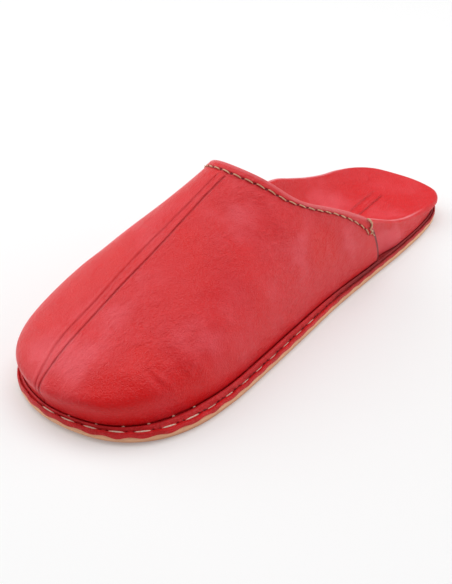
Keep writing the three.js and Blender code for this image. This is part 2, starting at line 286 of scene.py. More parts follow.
# Section of the welt, from inside over its drooping lip, the stitched recess and the bead to the
# groove. A point lies at its share of the way from the sole's edge to the groove, and its inset farther
# in. Droop, dimple and bead are how much it moves with the lip's scallops, the stitches and the bead.
WELT_SECTION = table(
    "share inset z droop dimple bead",
    (0, 11, 3.5, 0, 0, 0),
    (0, 1.3, 3.5, 0, 0, 0),
    (0, 0.45, 3.55, 0.4, 0, 0),
    (0, 0.05, 3.45, 0.9, 0, 0),
    (0, -0.2, 3.4, 1.0, 0, 0),
    (0, -0.32, 3.75, 0.8, 0, 0),
    (0, -0.28, 4.35, 0.3, 0.2, 0),
    (0, 0, 4.95, 0, 0.5, 0),
    (0.16, 0.15, 5.1, 0, 0.9, 0),
    (0.3, 0.2, 4.75, 0, 1.0, 0),
    (0.46, 0, 4.95, 0, 0.5, 0.2),
    (0.58, 0, 5.4, 0, 0, 0.7),
    (0.72, 0, 5.6, 0, 0, 1.0),
    (0.86, 0, 5.4, 0, 0, 0.8),
    (0.97, 0, 4.8, 0, 0, 0.1),
    (1.0, 0.5, 4.9, 0, 0, 0),
    (1.0, 1.6, 5.3, 0, 0, 0),
    (0, 11, 5.3, 0, 0, 0),
)
WELT_STEPS = 1400
WELT_ROW_STEPS = 4
RECESS_ACROSS = 9 / (len(WELT_SECTION["z"]) - 1)  # share of the section where the recess lies
WELT_REAR = (98.0, 134.0)  # behind this the welt lies in the shade of the folded back
SCALLOP = 0.62
SCALLOP_SIZES = (0.5, 1.15)
SCALLOPS_FADE = (70.0, 110.0)  # distances from the toe between which they grow flatter
SIDE_SCALLOP = 0.45
TOE_DROOP = 0.7
TOE_DROOP_FROM = (222.0, 252.0)
DIMPLE = 0.16
BEAD_RISE = 0.75
BEAD_REAR = 0.25  # shares of its height that the bead has behind and at the toe
BEAD_TOE = 0.5
BEAD_GROWS = (84.0, 112.0)
BEAD_SHRINKS = (220.0, 223.0)

# Running stitches of the welt, from the toe's tip to both sides.
WELT_PITCH = 10.7
WELT_DASH = 8.6
WELT_THREAD = 0.33
WELT_THREAD_Z = 4.85
WELT_THREAD_DIP = 0.75
WELT_THREAD_SHARE = 0.25  # of the way from the sole's edge to the groove
WELT_THREAD_INSET = 0.15
WELT_THREAD_STEPS = 13
WELT_STITCHES_FROM = 128.0  # behind this the rolled welt hides its stitches
WELT_HIDES = (-34.0, -5.0)  # beside the toe, on the outer side, the lip covers the stitches
WELT_SINKS = (60.0, 74.0)  # between these distances from the toe the stitches sink into the recess
SUNK_THREAD = {"down": 0.4, "in": 0.05, "thinner": 0.35}
THREAD_SIDES = 8
THREAD_TWIST = 4.0  # radians for each millimetre

OUTSOLE_EDGE = table(
    "inset z",
    (1.4, 0.0),
    (0.55, 0.15),
    (0.1, 0.8),
    (0, 1.6),
    (0.1, 2.5),
    (0.5, 3.1),
    (1.2, 3.2),
)
INSOLE_EDGE = table(
    "inset z",
    (11.3, 3.5),
    (11.3, 5.6),
    (8.7, 5.6),
    (8.6, 6.2),
    (8.75, 6.9),
    (9.3, 7.3),
)
PLATE_AROUND = 500
PLATE_ACROSS = 60
PLATE_ROW_STEPS = 4
OUTLINE_STEPS = 4000
AROUND = np.linspace(0, 1, OUTLINE_STEPS + 1)  # shares of the outline that distances are measured at
LINE_STEPS = 12
EDGE_LINE_STEPS = 6

NEAREST_BATCH = 4000  # points measured at once, to save memory
SMALL = 1e-9  # keeps a length of zero from dividing
RANDOM = np.random.default_rng(7)


# Curves and outlines


def hermite(a, b, slope_a, slope_b, p):
    return (
        (2 * p**3 - 3 * p**2 + 1) * a
        + (p**3 - 2 * p**2 + p) * slope_a
        + (3 * p**2 - 2 * p**3) * b
        + (p**3 - p**2) * slope_b
    )


def smooth(rows, name, at):
    """The smooth value of one column of a table at places along its x column."""
    x, y = rows["x"], rows[name]
    at = np.clip(at, x[0], x[-1])
    secant = np.diff(y) / np.diff(x)
    slope = np.concatenate([secant[:1], (secant[1:] + secant[:-1]) / 2, secant[-1:]])
    k = np.clip(np.searchsorted(x, at, side="right") - 1, 0, len(x) - 2)
    step = x[k + 1] - x[k]
    return hermite(y[k], y[k + 1], slope[k] * step, slope[k + 1] * step, (at - x[k]) / step)


def spline(points, steps):
    """A smooth line through points, with a number of steps between each two."""
    points = np.asarray(points, float)
    padded = np.concatenate([points[:1], points, points[-1:]])
    slope = (padded[2:] - padded[:-2]) / 2
    p = (np.arange(steps) / steps)[:, None]
    spans = [
        hermite(points[k], points[k + 1], slope[k], slope[k + 1], p)
        for k in range(len(points) - 1)
    ]
    return np.concatenate([*spans, points[-1:]])


def ramp(low, high, value):
    """0 below low, 1 above high, and smooth between them."""
    share = np.clip((value - low) / (high - low), 0, 1)
    return share * share * (3 - 2 * share)


def lengths(line):
    """Distance along a line of points to each of them."""
    return np.concatenate([[0], np.cumsum(np.linalg.norm(np.diff(line, axis=0), axis=1))])


def along(line, distance):
    """Points of a line at distances along it."""
    run = lengths(line)
    return np.stack([np.interp(distance, run, line[:, axis]) for axis in range(line.shape[1])], -1)


def even(lines, count):
    """Each line of points, with its points spaced evenly."""
    return np.stack([along(line, np.linspace(0, lengths(line)[-1], count)) for line in lines])


def unit(vectors):
    """The vectors, each with a length of 1."""
    return vectors / np.maximum(np.linalg.norm(vectors, axis=-1, keepdims=True), SMALL)


OUTLINE = np.concatenate(
    [
        np.stack([PLAN["x"], PLAN["inner"]], -1),
        np.stack([PLAN["x"], -PLAN["outer"]], -1)[-2:0:-1],
    ]
)


def outline(t):
    """The sole's outline, from the heel (0) along the inner side to the toe (0.5) and back."""
    place = (np.asarray(t, float) % 1) * len(OUTLINE)
    k = np.floor(place).astype(int)
    p = (place - k)[:, None]
    a, b, c, d = (OUTLINE[(k + step) % len(OUTLINE)] for step in (-1, 0, 1, 2))
    before, middle, after = (
        np.sqrt(np.linalg.norm(end - start, axis=1))[:, None] for start, end in ((a, b), (b, c), (c, d))
    )
    slope_b = ((b - a) / before - (c - a) / (before + middle) + (c - b) / middle) * middle
    slope_c = ((c - b) / middle - (d - b) / (middle + after) + (d - c) / after) * middle
    return hermite(b, c, slope_b, slope_c, p)


def rim(t, inset):
    """Points a distance inside the outline."""
    step = 1e-4
    t = np.asarray(t, float)
    tangent = unit(outline(t + step) - outline(t - step))
    inward = np.stack([tangent[:, 1], -tangent[:, 0]], -1)
    return outline(t) + inward * np.broadcast_to(inset, t.shape)[:, None]


def groove_inset(t):
    edge = outline(t)
    inner, outer = smooth(GROOVE, "inner", edge[:, 0]), smooth(GROOVE, "outer", edge[:, 0])
    return np.where(edge[:, 1] > 0, inner, outer)


def evenly_round(start, end, count):
    """Places between two shares of the outline that are evenly spaced along it."""
    t = np.linspace(start, end, OUTLINE_STEPS)
    run = lengths(outline(t))
    return np.interp(np.linspace(0, run[-1], count), run, t)


def lifted(points):
    """The points, with the heel and toe ends lifted as the sole is."""
    heel = np.clip(1 - points[..., 0] / HEEL_FLAT_FROM, 0, 1)
    toe = np.clip((points[..., 0] - TOE_FLAT_TO) / (LENGTH - TOE_FLAT_TO), 0, 1)
    raised = points.copy()
    raised[..., 2] += HEEL_SPRING * heel**2 + TOE_SPRING * toe**2
    return raised


def normals(grid):
    """Unit normals of a grid of points."""
    return unit(np.cross(np.gradient(grid, axis=1), np.gradient(grid, axis=0)))


def nearest(points, line):
    """Distance from each point to the nearest point of a line, and how far along the line that is."""
    flat = points.reshape(-1, points.shape[-1])
    run = lengths(line)
    distance, place = np.empty(len(flat)), np.empty(len(flat))
    for first in range(0, len(flat), NEAREST_BATCH):
        batch = slice(first, first + NEAREST_BATCH)
        gaps = np.linalg.norm(flat[batch, None] - line[None], axis=2)
        best = gaps.argmin(axis=1)
        distance[batch] = gaps[np.arange(len(best)), best]
        place[batch] = run[best]
    return distance.reshape(points.shape[:-1]), place.reshape(points.shape[:-1])


# The upper


def ridge_point(base_x, tip_x):
    turn = np.clip((base_x - TOE_FAN_FROM) / (tip_x - TOE_FAN_FROM), 0, 1)
    x = np.minimum(base_x, TOE_FAN_FROM) + (RIDGE_FRONT[0] - TOE_FAN_FROM) * np.sin(turn * np.pi / 2)
    share = (x - RIDGE_REAR[0]) / (RIDGE_FRONT[0] - RIDGE_REAR[0])
    return np.stack([x, RIDGE_REAR[1] + (RIDGE_FRONT[1] - RIDGE_REAR[1]) * share], -1)


def dome_ribs(t, depth):
    """Ribs of the upper's dome from the groove to the ridge, a depth inside its outer face."""
    base = rim(t, groove_inset(t) + depth)
    facing = rim(1 - t, groove_inset(1 - t) + depth)
    toe = np.array([0.5])
    tip_x = rim(toe, groove_inset(toe) + depth)[0, 0]
    base_x = (base[:, 0] + facing[:, 0]) / 2
    ridge = ridge_point(base_x, tip_x)
    span = base - ridge
    outward = unit(span)
    power = (2 / smooth(UPPER_SECTIONS, "exponent", base_x))[:, None]
    fullness = smooth(UPPER_SECTIONS, "fullness", base_x)[:, None]
    angle = np.linspace(0, np.pi / 2, RIB_SAMPLES)
    reach = np.cos(angle) ** power
    swell = fullness * np.sin(2 * angle)
    reach[:, -1] = 0
    swell[:, -1] = 0
    plan = ridge[:, None] + span[:, None] * reach[..., None] + outward[:, None] * swell[..., None]
    height = smooth(UPPER_SECTIONS, "ridge", plan[..., 0]) - depth - SEAT
    z = SEAT + height * np.sin(angle) ** power
    return even(np.dstack([plan, z]), DOME_ACROSS + 1)


def side_line(rows, forward):
    """A line of the side view, moved forward by a distance."""
    line = spline(np.stack([rows["x"], rows["z"]], -1), LINE_STEPS)
    tangent = unit(np.gradient(line, axis=0))
    return line + forward * np.stack([-tangent[:, 1], tangent[:, 0]], -1)


def side_x(line, z):
    """The x of a line of the side view at heights."""
    order = np.argsort(line[:, 1])
    return np.interp(z, line[order, 1], line[order, 0])


def crossing(ribs, line):
    """For each height of the ribs, the fractional rib where they pass a line of the side view."""
    ahead = ribs[..., 0] - side_x(line, ribs[..., 2])
    first = np.maximum(np.argmax(ahead > 0, axis=0), 1)
    row = np.arange(ribs.shape[1])
    before, after = ahead[first - 1, row], ahead[first, row]
    return first - 1 - before / (after - before)


def pick(ribs, index):
    """Points of the ribs at fractional rib numbers, one for each height."""
    low = np.clip(np.floor(index).astype(int), 0, len(ribs) - 2)
    part = (index - low)[..., None]
    row = np.arange(ribs.shape[1])
    return ribs[low, row] * (1 - part) + ribs[low + 1, row] * part


def over_ridge(inner, outer):
    """Rows from the inner groove over the ridge to the outer groove."""
    return np.concatenate([inner, outer[..., ::-1, :][..., 1:, :]], axis=-2)


def dome(depth):
    """The dome's ribs on the inner and on the outer side."""
    t = evenly_round(UPPER_REAR, 0.5, DOME_RIBS)
    return dome_ribs(t, depth), dome_ribs(1 - t, depth)


def dome_skin(sides, line):
    """The part of the dome in front of a line of the side view."""
    share = np.linspace(0, 1, DOME_ALONG + 1)[:, None]
    skins = []
    for ribs in sides:
        start = crossing(ribs, line)[None]
        skins.append(pick(ribs, start + (len(ribs) - 1 - start) * share))
    return over_ridge(*skins)


def dome_line(sides, line):
    """A line of the side view drawn over the dome."""
    return over_ridge(*[pick(ribs, crossing(ribs, line)) for ribs in sides])


def dome_normals(skin):
    """Normals of the dome's skin, which agree where its two sides meet at the toe."""
    normal = normals(skin)
    normal[-1] += normal[-1, ::-1]
    return unit(normal)


def fold(rise, width, *line):
    """A soft ridge, or a trough where its rise is negative, along a short line of points."""
    return {"rise": rise, "width": width, "line": line}


UPPER_FOLDS = (
    fold(-0.35, 1.5, (235.2, 27, 27), (235.5, 33, 24), (234.9, 36.6, 21.6), (233.5, 39.4, 18.4)),
    fold(-0.3, 1.3, (232.5, 28.5, 27), (232.1, 34, 24.5), (230.9, 38, 21.5)),
    fold(0.3, 1.6, (233.9, 28, 27), (233.9, 33.5, 24.3), (232.8, 37.5, 21.5), (231, 40, 18)),
    fold(-0.22, 1.3, (227, 37, 24.5), (225.2, 39, 22.5), (223.2, 41.3, 19.3)),
    fold(-0.22, 1.4, (223, 37, 25.6), (221, 39, 23.5), (219.6, 41.2, 21.1), (216.1, 43.2, 16.2)),
    fold(0.4, 4.5, (222, 26, 31), (221, 34, 27), (219, 40, 22), (216, 43, 17)),
    fold(-0.5, 6.0, (206, 20, 41), (198, 30, 36), (190, 38, 28), (184, 42, 20)),
    fold(0.45, 6.0, (190, 14, 48), (182, 26, 42), (174, 35, 34), (166, 40, 24)),
    fold(-0.5, 6.5, (172, 10, 56), (164, 22, 48), (154, 31, 39), (146, 36, 28)),
    fold(0.5, 6.0, (152, 14, 60), (146, 24, 50), (136, 31, 39), (128, 34, 26)),
    fold(-0.45, 5.0, (128, 28, 45), (120, 31, 36), (112, 33, 26), (106, 34, 18)),
    fold(-0.5, 7.0, (252, 12, 21), (250, 24, 20), (244, 33, 19)),
    fold(-0.5, 6.0, (206, -20, 41), (198, -30, 36), (190, -38, 28)),
    fold(0.45, 6.0, (182, -26, 42), (174, -35, 34), (166, -40, 24)),
    fold(-0.5, 6.5, (164, -22, 48), (154, -31, 39), (146, -36, 28)),
    fold(-0.45, 5.0, (128, -30, 45), (120, -33, 36), (112, -35, 26)),
)
BACK_FOLDS = (
    fold(-0.35, 1.0, (42, 10, 9.4), (39, 14, 9.6), (34, 17, 9.8), (28, 18, 9.8)),
    fold(-0.4, 1.0, (50, 19, 10.6), (42, 20, 10.4), (34, 21, 10.4), (25, 20, 10)),
    fold(-0.35, 0.9, (46, 24, 12.4), (38, 24, 11.4), (29, 22.5, 10.8)),
    fold(-0.3, 0.9, (30, -8, 9.4), (26, -14, 9.8), (30, -20, 11)),
    fold(0.5, 4.0, (66, 12, 10), (56, 14, 10), (46, 15, 10)),
    fold(-0.5, 4.0, (72, 31, 12), (64, 31, 10), (56, 31, 8)),
)
FOLD_ENDS = (0.04, 0.96)  # shares of a fold's length where it stops fading

# Places painted with shade as a deeper red (below 0) or with sheen as a hazier red (above 0), partly also
# mottled dye, on the two red pieces.
SHEEN_AND_SHADE_PLACES = table(
    "x y z size tone",
    (248.7, 29.9, 19.6, 13, -1.3),
    (250.6, 19, 22, 8, -0.7),
    (231.2, 23, 29.1, 9, -0.8),
    (219.4, 43, 15.5, 11, -0.8),
    (124.4, 32.3, 31.2, 9, -1.9),
    (187.5, 9.2, 49.8, 12, -0.8),
    (205, -24, 38, 12, -0.4),
    (165, -33, 40, 10, -0.5),
    (236, -26, 24, 9, -0.5),
    (249.7, 5.3, 23.8, 10, 1.2),
    (228, 2, 33.5, 12, 0.6),
    (248.6, -13.6, 24, 10, 1.0),
    (209.7, 37.1, 29.1, 12, 0.6),
    (157.5, 16.1, 56.4, 14, 0.6),
    (141.3, 30.9, 38, 9, 0.6),
    (104.2, 31.6, 26, 8, 0.7),
    (195.8, -6, 47.7, 9, 0.3),
    (185, -30, 38, 10, 0.5),
    (130, -33, 34, 10, 0.5),
    (70, 31, 13, 7, 1.8),
    (56, 31.5, 9, 6, 0.9),
    (40, 29, 9, 5, 0.6),
    (66, 29.5, 19.5, 3.5, -1.5),
    (54, 28.5, 15, 3, -1.4),
    (60, -14, 12, 14, 0.9),
    (36, -12, 10, 8, -0.4),
    (42, 12, 10, 9, 0.7),
    (22, -4, 10, 6, 0.4),
)


def sheen_and_shade_at(skin):
    """The sum of the places of painted sheen and painted shade at each point."""
    total = np.zeros(skin.shape[:-1])
    for x, y, z, size, tone in zip(*SHEEN_AND_SHADE_PLACES.values()):
        total += tone * np.exp(-(((skin - (x, y, z)) ** 2).sum(-1)) / size**2)
    return total


def folded(skin, normal, folds):
    """The skin, moved along its normals by each soft trough or ridge."""
    moved = skin.copy()
    for row in folds:
        line = spline(row["line"], LINE_STEPS)
        distance, place = nearest(skin, line)
        fade = np.sin(np.pi * np.clip(place / lengths(line)[-1], *FOLD_ENDS))
        moved += normal * (row["rise"] * fade * np.exp(-((distance / row["width"]) ** 2)))[..., None]
    return moved


def below_hem(skin):
    """1 below the hem's end, where the collar's edge is cut plainly."""
    return 1 - ramp(HEM_ENDS_BELOW - 2, HEM_ENDS_BELOW - 1, skin[..., 2])


def from_line(skin, line):
    """Distance from each point to a smooth line through points."""
    return nearest(skin, spline(line, EDGE_LINE_STEPS))[0]


def upper_fields(skin, hem_line):
    """What the leather's material reads on the upper."""
    hem, run = nearest(skin, hem_line)
    behind = skin[..., 0] < side_x(side_line(HEM_LINE, 0), skin[..., 2])
    hem = np.where(behind, -hem, hem)
    far_slot = nearest(skin * (1, -1, 1), SLOT + (0, FAR_EAR, 0))[0]
    # Painted shade in the gap at each ear and along the ear's cut edge below the hem.
    slot = 1 - ramp(*SLOT_WIDTH, np.minimum(nearest(skin, SLOT)[0], far_slot))
    from_edge = from_line(skin, skin[0])
    cut = below_hem(skin)
    return {
        "hem": hem,
        "hem_run": run - lengths(hem_line)[-1] / 2,
        "left_line": skin[..., 1] - smooth(PRESSED, "left", skin[..., 0]),
        "right_line": skin[..., 1] - smooth(PRESSED, "right", skin[..., 0]),
        "pressed": ramp(*PRESSED_FADE, hem),
        "stitched": ramp(*STITCHED_ABOVE, skin[..., 2]),
        "tone": sheen_and_shade_at(skin),
        "slot": np.maximum(slot, cut * (1 - ramp(*EAR_LINE, from_edge))),
        # Painted highlight along the collar's edge above the hem's end.
        "crest": RIM_HIGHLIGHT * (1 - cut) * np.exp(-((from_edge / RIM_WIDTH) ** 2)),
    }


def hem_share(skin, hem):
    """How much of the hem's rise each point has."""
    behind_seam = 1 - ramp(*HEM_SOFT, hem)
    return behind_seam * ramp(HEM_ENDS_BELOW - HEM_FADE, HEM_ENDS_BELOW + HEM_FADE, skin[..., 2])


def upper_piece():
    """The hollow upper, the line of its stitches and the collar's outer edge."""
    faces = []
    edge = side_line(COLLAR, HEM_EDGE)
    outer_sides = dome(0)
    hem_line = dome_line(outer_sides, side_line(HEM_LINE, 0))
    for sides, sign in ((outer_sides, 1), (dome(UPPER_WALL), -1)):
        skin = dome_skin(sides, edge)
        normal = dome_normals(skin)
        fields = upper_fields(skin, hem_line)
        moved = skin + normal * (sign * HEM_RISE * hem_share(skin, fields["hem"]))[..., None]
        faces.append((folded(moved, normal, UPPER_FOLDS), fields))
    outer, inner = faces[0][0], faces[1][0]
    edge_skin = round_edge(outer[0], inner[0])
    skins = [*faces, (edge_skin, edge_fields(faces[0][1], edge_skin))]
    for side in (0, -1):
        arc = edge_skin[:, side]
        skins.append((np.stack([outer[:, side], inner[:, side]], 1), {}))
        skins.append((np.stack([arc, np.broadcast_to(arc[0], arc.shape)], 1), {}))
    return skins, hem_line, outer[0]


def round_edge(outer, inner):
    """The rounded edge between the ends of two skins, as rows from the outer to the inner one."""
    middle, arm = (outer + inner) / 2, (outer - inner) / 2
    back = unit(np.cross(np.gradient(middle, axis=0), arm))
    back *= HEM_EDGE * np.sign(-back[:, :1])
    angle = np.linspace(0, np.pi, EDGE_STEPS)
    return np.stack([middle + arm * math.cos(a) + back * math.sin(a) for a in angle])


def edge_fields(fields, edge):
    """Fields of the wall's rounded edge, which is cut below the hem's end and painted with shade there."""
    values = {name: np.repeat(values[:1], len(edge), axis=0) for name, values in fields.items()}
    values["slot"] = below_hem(edge)
    return values


# The folded back


def back_section(height, lean, span, depth):
    """Distances inward from the groove, and heights: up the wall, over the fold, down to the middle."""
    centre_d, centre_z = lean + FOLD_RADIUS, height - FOLD_RADIUS
    radius = FOLD_RADIUS - depth
    slope = math.atan(FLAP_SAG * (height - FLAP_TOP) / (span - centre_d))
    up = np.linspace(0, 1, BACK_STEPS["wall"])
    wall = np.stack([lean * up**WALL_CURVE + depth, SEAT + (centre_z - SEAT) * up], -1)
    angle = np.linspace(0, np.pi / 2 + slope, BACK_STEPS["fold"])[1:-1]
    bend = np.stack([centre_d - radius * np.cos(angle), centre_z + radius * np.sin(angle)], -1)
    start_d = centre_d + FOLD_RADIUS * math.sin(slope)
    start_z = centre_z + FOLD_RADIUS * math.cos(slope)
    left = np.linspace(1, 0, BACK_STEPS["flap"])
    fall = slope * left ** (FLAP_SAG - 1)
    flap_d = span + (start_d - span) * left - depth * np.sin(fall)
    flap_z = FLAP_TOP + (start_z - FLAP_TOP) * left**FLAP_SAG - depth * np.cos(fall)
    return np.concatenate([wall, bend, np.stack([flap_d, flap_z], -1)])


def back_ribs(t, depth):
    """Ribs of the folded back, a depth inside its outer face."""
    place = (outline(t)[:, 0] + outline(-t)[:, 0]) / 2
    base = rim(t, groove_inset(t) + smooth(BACK_SECTIONS, "tuck", place))
    inner, outer = (smooth(BACK_SECTIONS, name, place) for name in ("inner_fold", "outer_fold"))
    height = np.where(t < 0, outer, inner)
    lean = smooth(BACK_SECTIONS, "lean", place)
    turn = np.clip((BACK_FAN_FROM - place) / BACK_FAN_FROM, 0, 1)
    reach = (BACK_FAN_FROM - BACK_FAN_CENTRE) * np.sin(turn * np.pi / 2)
    middle = np.stack([np.maximum(place, BACK_FAN_FROM) - reach, np.zeros(len(t))], -1)
    span = np.linalg.norm(middle - base, axis=1)
    inward = (middle - base) / span[:, None]
    ribs = []
    for k in range(len(t)):
        rows = back_section(height[k], lean[k], span[k], depth)
        plan = base[k] + inward[k] * rows[:, :1]
        ribs.append(np.concatenate([plan, rows[:, 1:]], axis=1))
    return even(ribs, BACK_ACROSS + 1)


def back_fields(skin, collar_edge):
    """What the leather's material reads on the folded back."""
    run = np.stack([lengths(rib) for rib in skin])
    from_fold = run - np.take_along_axis(run, skin[..., 2].argmax(axis=1)[:, None], axis=1)
    x, y = skin[..., 0], skin[..., 1]
    line_x, line_y, line_slope = FLAP_LINE
    line = line_y + line_slope * (x - line_x)
    shown = ramp(*FLAP_LINES_START, x) * (1 - ramp(*FLAP_LINES_END, x))
    shade = 1 - ramp(*EAR_SHADE_REACH, from_line(skin, collar_edge))
    return {
        "hem": np.full(x.shape, NO_HEM),
        "hem_run": np.zeros(x.shape),
        "left_line": y - (line - FLAP_LINES_APART),
        "right_line": y - line,
        "pressed": shown * (from_fold > FOLD_RADIUS),
        "tone": sheen_and_shade_at(skin),
        # Painted highlight along the fold's crest.
        "crest": np.exp(-((from_fold / CREST_WIDTH) ** 2)) * ramp(*CREST_FROM, x),
        # Painted shade on the folded back beside the ear's edge.
        "slot": EAR_SHADE * below_hem(skin) * shade,
    }


def back_piece(collar_edge):
    """The back of the slipper, folded down on to the insole."""
    half = evenly_round(0, BACK_FRONT, BACK_RIBS // 2 + 1)
    t = np.concatenate([-half[:0:-1], half])
    skins = []
    for depth in (0, BACK_WALL):
        skin = back_ribs(t, depth)
        skins.append((folded(skin, -normals(skin), BACK_FOLDS), back_fields(skin, collar_edge)))
    outer, inner = skins[0][0], skins[1][0]
    for side in (0, -1):
        skins.append((np.stack([outer[side], inner[side]]), {}))
    skins.append((np.stack([outer[:, 0], inner[:, 0]]), {}))
    return skins


# The welt, the sole and the insole


def toe_run(t):
    """Distance along the outline from the toe's tip, positive on the inner side."""
    run = lengths(outline(AROUND))
    return np.interp(0.5, AROUND, run) - np.interp(t, AROUND, run)


def bead_share(t):
    """How much of its height the bead has at each place."""
    x = outline(t)[:, 0]
    grown = BEAD_REAR + (1 - BEAD_REAR) * ramp(*BEAD_GROWS, x)
    return grown - (1 - BEAD_TOE) * ramp(*BEAD_SHRINKS, x)


def welt_wave(run):
    """Height of the lip's scallops, lowest at the middle of each stitch."""
    count = int(np.ceil(np.abs(run).max() / WELT_PITCH)) + 2
    size = RANDOM.uniform(*SCALLOP_SIZES, 2 * count + 1)
    strength = np.interp(run / WELT_PITCH, np.arange(-count, count + 1), size)
    strength *= 1 - (1 - SIDE_SCALLOP) * ramp(*SCALLOPS_FADE, np.abs(run))
    return -np.cos(2 * np.pi * run / WELT_PITCH) * strength


def welt_points(t):
    """The welt's section at each place round the outline."""
    groove = groove_inset(t)
    run = toe_run(t)
    droop = SCALLOP * welt_wave(run) - TOE_DROOP * ramp(*TOE_DROOP_FROM, outline(t)[:, 0])
    dimple = -DIMPLE * (1 + np.cos(2 * np.pi * run / WELT_PITCH))
    bead = BEAD_RISE * bead_share(t)
    rows = []
    for share, inset, z, droops, dimpled, beaded in zip(*WELT_SECTION.values()):
        height = z + droops * droop + dimpled * dimple + beaded * bead
        rows.append(np.column_stack([rim(t, inset + share * groove), height]))
    return np.stack([spline(section, WELT_ROW_STEPS) for section in np.stack(rows, 1)])


def welt_piece():
    """The welt as one closed ring, with what its material reads."""
    t = evenly_round(0, 1, WELT_STEPS + 1)
    skin = welt_points(t)
    skin[-1] = skin[0]
    run = np.broadcast_to(toe_run(t)[:, None], skin.shape[:-1])
    fields = {
        "run": run,
        "across": np.broadcast_to(np.linspace(0, 1, skin.shape[1]), skin.shape[:-1]),
        "rear": 1 - ramp(*WELT_REAR, skin[..., 0]),
        "sunk": ramp(*WELT_SINKS, np.abs(run)),
    }
    return [(skin, fields), (np.stack([skin[:, -1], skin[:, 0]], 1), {})]


def plate(edge):
    """A plate with the sole's outline: its edge and its two faces."""
    around = evenly_round(0, 1, PLATE_AROUND + 1)
    line = spline(np.stack([edge["inset"], edge["z"]], -1), PLATE_ROW_STEPS)
    rows = [np.column_stack([rim(around, inset), np.full(len(around), z)]) for inset, z in line]
    skins = [(np.stack(rows, 1), {})]
    near_side = around[: PLATE_AROUND // 2 + 1]
    far_side = around[::-1][: PLATE_AROUND // 2 + 1]
    share = np.linspace(0, 1, PLATE_ACROSS + 1)[None, :, None]
    for inset, z in (line[0], line[-1]):
        near, far = rim(near_side, inset)[:, None], rim(far_side, inset)[:, None]
        plan = near + (far - near) * share
        skins.append((np.dstack([plan, np.full(plan.shape[:-1], z)]), {}))
    return skins


# Threads


def tube(path, radius):
    """A thread along a path, closed at both ends, with its twist as a field."""
    path = np.asarray(path, float)
    tangent = unit(np.gradient(path, axis=0))
    side = unit(np.cross(tangent, (0, 0, 1.0)))
    up = np.cross(side, tangent)
    share = np.linspace(-1, 1, len(path))
    width = radius * np.sqrt(1 - share**6)
    angle = np.linspace(0, 2 * np.pi, THREAD_SIDES + 1)[:, None]
    ring = side[:, None] * np.cos(angle) + up[:, None] * np.sin(angle)
    skin = path[:, None] + ring * width[:, None, None]
    skin[:, -1] = skin[:, 0]
    return skin, {"twist": lengths(path)[:, None] * THREAD_TWIST + angle[:, 0]}


def collar_threads(hem_line):
    """Saddle stitches along the hem, each a short thread that dips into its holes."""
    whole = lengths(hem_line)[-1]
    share = np.linspace(-1, 1, COLLAR_STEPS)
    threads = []
    for run in np.arange(whole / 2 % COLLAR_PITCH, whole, COLLAR_PITCH):
        path = along(hem_line, run + share * COLLAR_DASH / 2)
        if path[:, 2].min() < STITCHED_ABOVE[0]:
            continue
        outward = away_from_middle(path)
        across = unit(np.cross(np.gradient(path, axis=0), outward))
        rise = COLLAR_THREAD_RISE - COLLAR_THREAD_DIP * share**4
        slant = COLLAR_SLANT * share + RANDOM.uniform(-0.08, 0.08)
        threads.append(tube(path + outward * rise[:, None] + across * slant[:, None], COLLAR_THREAD))
    return threads


def away_from_middle(points):
    """Directions out of the dome at points on it."""
    behind, y, low = DOME_MIDDLE
    middle = np.stack([points[:, 0] - behind, np.full(len(points), y), points[:, 2] * low], -1)
    return unit(points - middle)


def welt_line(run, share, inset, z):
    """Points on the welt at distances from the toe's tip along the outline."""
    t = np.interp(-run, -toe_run(AROUND), AROUND)
    return np.column_stack([rim(t, share * groove_inset(t) + inset), np.broadcast_to(z, t.shape)])


def welt_threads():
    """Running stitches round the welt, each lying in its dimple."""
    count = int(toe_run(np.array([0.0]))[0] / WELT_PITCH)
    share = np.linspace(-1, 1, WELT_THREAD_STEPS)
    threads = []
    for n in range(-count, count + 1):
        middle = n * WELT_PITCH + RANDOM.uniform(-0.4, 0.4)
        dash = WELT_DASH * RANDOM.uniform(0.86, 1.04)
        inset = WELT_THREAD_INSET + RANDOM.uniform(-0.1, 0.1)
        sunk = ramp(*WELT_SINKS, abs(middle))
        z = WELT_THREAD_Z - SUNK_THREAD["down"] * sunk - WELT_THREAD_DIP * share**4
        between = WELT_THREAD_SHARE + SUNK_THREAD["in"] * sunk
        path = welt_line(middle + share * dash / 2, between, inset, z)
        hidden = WELT_HIDES[0] < middle < WELT_HIDES[1]
        if path[:, 0].min() > WELT_STITCHES_FROM and not hidden:
            threads.append(tube(path, WELT_THREAD * (1 - SUNK_THREAD["thinner"] * sunk)))
    return threads


def groove_knots():
    """Ends of the inner seam's thread, which show as short loops in the welt's groove."""
    share = np.linspace(-1, 1, GROOVE_KNOT_STEPS)
    knots = []
    for run in GROOVE_KNOTS:
        z = GROOVE_KNOT_Z - GROOVE_KNOT_ARCH * share**2
        path = welt_line(run + GROOVE_KNOT_HALF * share, 1.0, GROOVE_KNOT_INSET, z)
        knots.append(tube(path, GROOVE_THREAD))
    return knots


def ear_threads():
    """The bar that locks the collar's seam at each ear, and the knots of its thread below."""
    turn = np.linspace(0, 2 * np.pi, KNOT_STEPS + 1)
    ring = np.stack([np.cos(turn), np.sin(turn), np.sin(turn)], -1)
    paths = {
        "bar": spline(EAR_BAR, 5),
        "knot": ring * KNOT_SIZE + KNOT,
        "end": spline(KNOT_END, 4),
        "lock": spline(EAR_LOCK, 4),
    }
    threads = []
    for name, path in paths.items():
        threads.append(tube(path, EAR_THREADS[name]))
        threads.append(tube(path * (1, -1, 1) - (0, FAR_EAR, 0), EAR_THREADS[name]))
    return threads


# Meshes


SOLE_FAR = -outline(np.linspace(0.5, 1, OUTLINE_STEPS // 2))[:, 1].min()
JOIN = 2e-6  # metres, the distance under which two points are one
SLIVER = 1e-7  # metres, the length under which an edge goes


